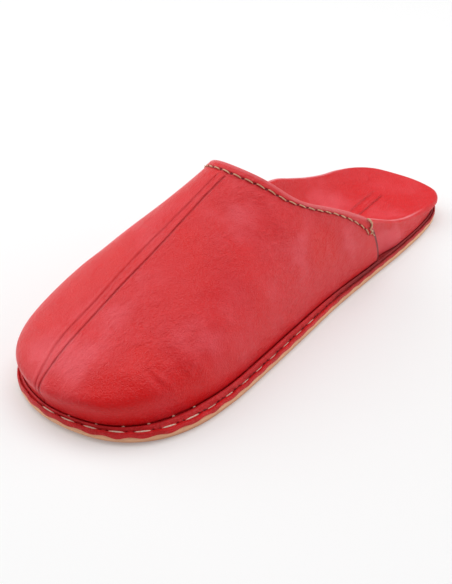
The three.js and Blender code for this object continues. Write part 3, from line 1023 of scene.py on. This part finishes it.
def to_frame(points):
    """Model points in the frame of the CAD model, in metres."""
    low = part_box("outsole")[0]
    own = np.array([low.x / MM, low.y / MM + SOLE_FAR, 0.0])
    return (lifted(np.asarray(points, float)) + own) * MM


def mesh_of(name, skins):
    """One mesh from grids of points, joined where they touch, with their fields as attributes."""
    names = sorted({field for _, fields in skins for field in fields})
    points, faces = [], []
    values = {field: [] for field in names}
    start = 0
    for skin, fields in skins:
        rows, columns = skin.shape[:2]
        index = start + np.arange(rows * columns).reshape(rows, columns)
        quads = np.stack([index[:-1, :-1], index[1:, :-1], index[1:, 1:], index[:-1, 1:]], -1)
        faces.append(quads.reshape(-1, 4))
        points.append(skin.reshape(-1, 3))
        for field in names:
            own = fields.get(field, np.zeros((rows, columns)))
            values[field].append(np.asarray(own, float).reshape(-1))
        start += rows * columns
    mesh = bpy.data.meshes.new(name)
    mesh.from_pydata(to_frame(np.concatenate(points)), [], np.concatenate(faces))
    for field in names:
        attribute = mesh.attributes.new(field, "FLOAT", "POINT")
        attribute.data.foreach_set("value", np.concatenate(values[field]).astype(np.float32))
    whole = bmesh.new()
    whole.from_mesh(mesh)
    bmesh.ops.remove_doubles(whole, verts=whole.verts, dist=JOIN)
    bmesh.ops.dissolve_degenerate(whole, edges=whole.edges, dist=SLIVER)
    bmesh.ops.recalc_face_normals(whole, faces=whole.faces)
    whole.to_mesh(mesh)
    whole.free()
    mesh.shade_smooth()
    return mesh


def add_piece(name, skins, material, node=None):
    """A piece of the slipper that rides on its one body."""
    piece = bpy.data.objects.new(name, mesh_of(name, skins))
    bpy.context.scene.collection.objects.link(piece)
    piece.data.materials.append(material)
    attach(piece, "root")
    if node:
        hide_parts(node)


# Materials


class Shader:
    """A node material that is built one node at a time."""

    def __init__(self, name):
        self.material = bpy.data.materials.new(name)
        self.material.use_nodes = True
        self.tree = self.material.node_tree
        self.surface = self.tree.nodes["Principled BSDF"]
        self.place = self.add("ShaderNodeTexCoord").outputs["Object"]
        self.place = self.stretched((1 / MM, 1 / MM, 1 / MM))

    def add(self, kind, inputs=None, **settings):
        node = self.tree.nodes.new(kind)
        for name, value in settings.items():
            setattr(node, name, value)
        for name, value in (inputs or {}).items():
            self.set(node, name, value)
        return node

    def set(self, node, name, value):
        if isinstance(value, bpy.types.NodeSocket):
            self.tree.links.new(value, node.inputs[name])
        else:
            node.inputs[name].default_value = value

    def math(self, operation, *values):
        return self.add("ShaderNodeMath", dict(enumerate(values)), operation=operation).outputs[0]

    def times(self, a, b):
        return self.math("MULTIPLY", a, b)

    def field(self, name):
        return self.add("ShaderNodeAttribute", attribute_name=name).outputs["Fac"]

    def noise(self, size, detail=3.0, roughness=0.55, place=None):
        """Noise whose features measure about size, in millimetres."""
        inputs = {"Vector": place or self.place, "Scale": 1 / size}
        inputs |= {"Detail": detail, "Roughness": roughness}
        return self.add("ShaderNodeTexNoise", inputs).outputs["Fac"]

    def cells(self, size):
        """Distance from the edges of cells of a size, as leather grain has."""
        inputs = {"Vector": self.place, "Scale": 1 / size}
        return self.add("ShaderNodeTexVoronoi", inputs, feature="DISTANCE_TO_EDGE").outputs["Distance"]

    def stretched(self, scale):
        """Places multiplied by a scale along each axis."""
        inputs = {0: self.place, 1: scale}
        return self.add("ShaderNodeVectorMath", inputs, operation="MULTIPLY").outputs[0]

    def range(self, value, low, high, to_low=0.0, to_high=1.0):
        inputs = {0: value, 1: low, 2: high, 3: to_low, 4: to_high}
        return self.add("ShaderNodeMapRange", inputs, interpolation_type="SMOOTHSTEP").outputs[0]

    def mix(self, share, a, b, most=1.0):
        """Colour a with a share of colour b, which is at most a given part."""
        share = share if most == 1.0 else self.times(share, most)
        node = self.add("ShaderNodeMix", data_type="RGBA")
        for socket, value in ((0, share), (6, a), (7, b)):
            self.set(node, socket, (*value, 1) if isinstance(value, tuple) else value)
        return node.outputs[2]

    def bump(self, height, millimetres, normal=None):
        """A bump whose full height is given in millimetres."""
        inputs = {"Height": height, "Distance": millimetres * MM, "Strength": 1.0}
        if normal is not None:
            inputs["Normal"] = normal
        return self.add("ShaderNodeBump", inputs).outputs["Normal"]

    def finish(self, color, roughness, specular, normal=None):
        """The material, with what was made plugged into its surface."""
        sockets = {"Base Color": color, "Roughness": roughness, "Specular IOR Level": specular}
        if normal is not None:
            sockets["Normal"] = normal
        for name, value in sockets.items():
            self.set(self.surface, name, value)
        return self.material


def near_line(s, distance, width):
    """1 on a line, falling to 0 at a width from it."""
    return s.range(s.math("ABSOLUTE", distance), 0.0, width, 1.0, 0.0)


def lines_height(s, distance, width):
    """A pressed line: a trough with a soft ridge on the side of the ridge line."""
    trough = near_line(s, distance, width)
    ridge = near_line(s, s.math("ADD", distance, width * 1.5), width * 1.3)
    return s.math("SUBTRACT", s.times(ridge, 0.5), trough)


def wrinkles(s):
    """Fine wrinkles, stronger in some places than in others."""
    wrinkle = s.noise(1.9, 4, 0.66, place=s.stretched((0.5, 1.0, 0.9)))
    return s.times(wrinkle, s.range(s.noise(26, 2), 0.38, 0.6, 0.35, 1.0))


def grain(s, strength):
    """Bumps of leather, from soft dents over wrinkles to fine grain."""
    height = s.bump(s.noise(13, 3, 0.45), 0.9 * strength)
    height = s.bump(wrinkles(s), 0.7 * strength, height)
    height = s.bump(s.range(s.cells(1.0), 0.0, 0.25), 0.08 * strength, height)
    return s.bump(s.noise(0.4, 2), 0.03 * strength, height)


def darker(s, dark, mark, strength):
    """The stronger of the painted shade already there and a mark of painted shade of a strength."""
    return s.math("MAXIMUM", dark, s.times(mark, strength))


def dented(s, mark, millimetres, height):
    """The bumps, with a mark pressed in."""
    return s.bump(s.math("SUBTRACT", 1.0, mark), millimetres, height)


def pressed_lines(s, height):
    """Bumps of the two pressed lines, and painted shade in them."""
    shown = s.field("pressed")
    left_line, right_line = s.field("left_line"), s.field("right_line")
    left = s.times(lines_height(s, left_line, 1.1), 0.8)
    both = s.math("ADD", left, lines_height(s, right_line, 0.9))
    # Painted shade in the pressed lines' troughs.
    dark = s.times(near_line(s, left_line, 0.7), 0.06)
    dark = darker(s, dark, near_line(s, right_line, 0.5), 0.28)
    return s.bump(s.times(both, shown), 0.55, height), s.times(dark, shown)


def stitched_hem(s, height, dark):
    """Bumps of the hem's trough and of the holes between its stitches, and painted shade in both."""
    hem, stitched = s.field("hem"), s.field("stitched")
    trough = s.times(near_line(s, hem, 1.0), stitched)
    phase = s.math("FRACT", s.math("DIVIDE", s.field("hem_run"), COLLAR_PITCH))
    apart = s.times(s.math("SUBTRACT", phase, 0.5), COLLAR_PITCH)
    off_seam = s.times(s.times(hem, hem), 1.6)
    spread = s.math("ADD", s.times(apart, apart), off_seam)
    hole = s.times(s.range(spread, 0.06, 0.5, 1.0, 0.0), stitched)
    height = dented(s, hole, 0.35, dented(s, trough, 0.3, height))
    return height, darker(s, darker(s, dark, trough, 0.22), hole, 0.9)


def leather(name, deep, middle, light, seams=False):
    """Dyed leather: mottled colour with painted sheen and painted shade, soft wrinkles, fine grain and a
    satin gloss.
    """
    s = Shader(name)
    fine = s.noise(1.3, 3)
    cloud = s.range(s.noise(16, 4), 0.34, 0.66)
    height = grain(s, 1.0)
    clouded = s.times(s.math("SUBTRACT", cloud, 0.5), 0.6)
    # Random mottle plus the placed painted sheen and painted shade; below 0 it mixes towards the deep red,
    # above 0 towards the hazy painted sheen.
    tone = s.math("ADD", clouded, s.field("tone") if seams else 0.0)
    color = s.mix(s.range(tone, -0.9, 0.15), deep, middle)
    color = s.mix(s.range(tone, -0.05, 1.1), color, light, 0.8)
    # Painted sheen: glints of the hazy colour on the fine grain and the wrinkles.
    color = s.mix(s.range(fine, 0.52, 0.8), color, light, 0.12)
    color = s.mix(s.range(wrinkles(s), 0.36, 0.62), color, light, 0.13)
    gloss = s.math("ADD", s.range(tone, -0.9, 0.9, 0.28, 0.35), s.times(fine, 0.08))
    if seams:
        height, dark = stitched_hem(s, *pressed_lines(s, height))
        # Painted highlight along the collar's edge and the fold's crest.
        crest = s.field("crest")
        # Painted shade in the pressed lines, the hem's trough and holes, and at the ears.
        color = s.mix(darker(s, dark, s.field("slot"), 0.95), color, PAINTED_SHADE_COLOR)
        color = s.mix(crest, color, PAINTED_HIGHLIGHT_COLOR, 0.75)
        gloss = s.math("SUBTRACT", gloss, s.times(crest, 0.1))
    return s.finish(color=color, roughness=gloss, normal=height, specular=0.31)


def welt_leather(name, deep, middle, light):
    """Dyed leather with painted shade in its stitched recess and in a pit at both ends of each stitch, and
    painted sheen on its bead.
    """
    s = Shader(name)
    across = s.field("across")
    phase = s.math("FRACT", s.math("ADD", s.math("DIVIDE", s.field("run"), WELT_PITCH), 0.5))
    from_middle = s.math("ABSOLUTE", s.math("SUBTRACT", phase, 0.5))
    recess = near_line(s, s.math("SUBTRACT", across, RECESS_ACROSS), 0.06)
    pit = s.times(recess, near_line(s, s.math("SUBTRACT", from_middle, 0.36), 0.09))
    bead_sheen = s.range(across, RECESS_ACROSS + 0.04, RECESS_ACROSS + 0.2)
    # Painted shade in the stitched recess, deeper where the stitches sink.
    seam = s.times(recess, s.range(s.field("sunk"), 0.0, 1.0, 0.25, 0.75))
    shaded = s.times(s.field("rear"), s.range(across, 0.3, 0.5, 0.2, 0.8))
    color = s.mix(s.range(s.noise(6, 4), 0.34, 0.68), deep, middle)
    # Painted sheen: specks of the hazy colour, and a band of it on the bead.
    color = s.mix(s.range(s.noise(1.5, 3), 0.5, 0.8), color, light, 0.4)
    color = s.mix(bead_sheen, color, light, 0.2)
    color = s.mix(seam, color, RECESS_SHADE_COLOR)
    color = s.mix(shaded, color, REAR_DARK)
    color = s.mix(pit, color, PIT_SHADE_COLOR, 0.85)
    height = dented(s, pit, 0.4, grain(s, 1.1))
    return s.finish(color=color, roughness=0.42, normal=height, specular=0.3)


def tan_leather(name):
    """Undyed sole leather with a fibrous cut edge, with painted shade low down near the floor and a painted
    highlight near its top.
    """
    s = Shader(name)
    fibre = s.noise(1.2, 5, 0.7, place=s.stretched((0.35, 0.35, 2.2)))
    up = s.add("ShaderNodeSeparateXYZ", {0: s.place}).outputs["Z"]
    # Painted shade near the floor, rising to a painted highlight at the top of the edge.
    color = s.mix(s.range(up, 0.6, 2.6), SOLE_SHADE_COLOR, SOLE_HIGHLIGHT_COLOR)
    color = s.mix(s.range(fibre, 0.4, 0.75), color, SOLE_FIBRE, 0.4)
    color = s.mix(s.range(s.noise(14, 3), 0.5, 0.75), color, SOLE_PATCH, 0.3)
    height = s.bump(s.noise(0.4, 3), 0.04, s.bump(fibre, 0.12))
    return s.finish(color=color, roughness=0.72, normal=height, specular=0.35)


def thread_material(name, dark, light):
    """Waxed thread with a visible twist."""
    s = Shader(name)
    height = s.bump(s.math("SINE", s.field("twist")), 0.05)
    color = s.mix(s.noise(2.5, 2), dark, light)
    return s.finish(color=color, roughness=0.6, normal=height, specular=0.35)


def floor_material():
    """The pale floor, which glows a little as a lit backdrop does."""
    s = Shader("floor")
    s.set(s.surface, "Emission Color", (1, 1, 1, 1))
    s.set(s.surface, "Emission Strength", FLOOR_GLOW)
    darkest, lightest = ((grey,) * 3 for grey in FLOOR_GREYS)
    return s.finish(color=s.mix(s.noise(FLOOR_CLOUDS, 2), darkest, lightest), roughness=0.6, specular=0.2)


# Stage


def aim(name, data, place, target):
    """A light or camera that points from its place at a target."""
    aimed = bpy.data.objects.new(name, data)
    aimed.location = place
    aimed.rotation_euler = (target - place).to_track_quat("-Z", "Y").to_euler()
    bpy.context.scene.collection.objects.link(aimed)
    return aimed


def area_light(name, place, size, power):
    """A round light that points at the origin."""
    light = bpy.data.lights.new(name, "AREA")
    light.shape = "DISK"
    light.size = size
    light.energy = power
    aim(name, light, Vector(place), Vector())


def build_stage():
    """The world, the lights and the floor."""
    scene = bpy.context.scene
    world = bpy.data.worlds.new("studio")
    scene.world = world
    world.use_nodes = True
    background = world.node_tree.nodes["Background"]
    background.inputs["Color"].default_value = (1, 1, 1, 1)
    background.inputs["Strength"].default_value = WORLD_STRENGTH
    for row in LIGHTS:
        area_light(*row)
    floor = bpy.data.meshes.new("floor")
    corners = [(x * FLOOR_REACH, y * FLOOR_REACH, 0) for x, y in ((-1, -1), (1, -1), (1, 1), (-1, 1))]
    floor.from_pydata(corners, [], [(0, 1, 2, 3)])
    plane = bpy.data.objects.new("floor", floor)
    scene.collection.objects.link(plane)
    floor.materials.append(floor_material())
    scene.view_settings.view_transform = "Standard"


def build_camera():
    """The photograph's camera."""
    camera = bpy.data.cameras.new("camera")
    camera.lens = CAMERA_LENS
    camera.sensor_width = CAMERA_SENSOR
    camera.sensor_fit = "HORIZONTAL"
    camera.clip_start = CAMERA_CLIP
    viewer = aim("camera", camera, Vector(CAMERA_PLACE) * MM, Vector(CAMERA_TARGET) * MM)
    bpy.context.scene.camera = viewer


def main():
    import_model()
    build_camera()
    build_stage()
    red = leather("upper_leather", *UPPER_DYE, seams=True)
    band = welt_leather("welt_leather", *WELT_DYE)
    lining = leather("insole_leather", *INSOLE_DYE)
    sole = tan_leather("sole_leather")
    fine_thread = thread_material("collar_thread", *COLLAR_THREAD_COLORS)
    thick_thread = thread_material("welt_thread", *WELT_THREAD_COLORS)
    upper_skins, hem_line, collar_edge = upper_piece()
    add_piece("upper_skin", upper_skins, red, "upper")
    add_piece("folded_back_skin", back_piece(collar_edge), red, "folded_back")
    add_piece("welt_strip", welt_piece(), band, "welt")
    add_piece("outsole_slab", plate(OUTSOLE_EDGE), sole, "outsole")
    add_piece("insole_cover", plate(INSOLE_EDGE), lining, "insole")
    add_piece("collar_stitches", collar_threads(hem_line) + ear_threads(), fine_thread)
    add_piece("welt_stitches", welt_threads() + groove_knots(), thick_thread)


main()
